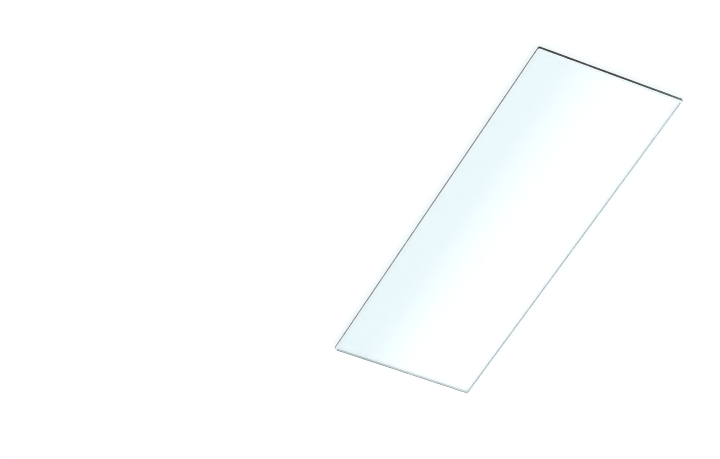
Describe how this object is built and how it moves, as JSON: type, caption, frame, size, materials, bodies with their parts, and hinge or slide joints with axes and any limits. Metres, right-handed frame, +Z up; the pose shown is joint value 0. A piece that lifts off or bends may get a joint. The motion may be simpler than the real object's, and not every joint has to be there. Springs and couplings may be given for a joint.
{
  "type": "microscope slide",
  "caption": "Plain flat rectangular plate of clear glass with seamed edges, which carries a specimen under a microscope.",
  "frame": {"origin": "middle of the underside, on the surface that the slide lies on", "axes": "+X along the length, +Y across the width, +Z up out of the specimen face"},
  "size_m": [0.075, 0.025, 0.001],
  "materials": {
    "clear_glass": "clear soda-lime glass, fire-polished on both faces, with clear cut edges that look dark blue-green from the side, and matt ground seams"
  },
  "bodies": {
    "root": {"glass_slide": "clear_glass"}
  },
  "joints": []
}
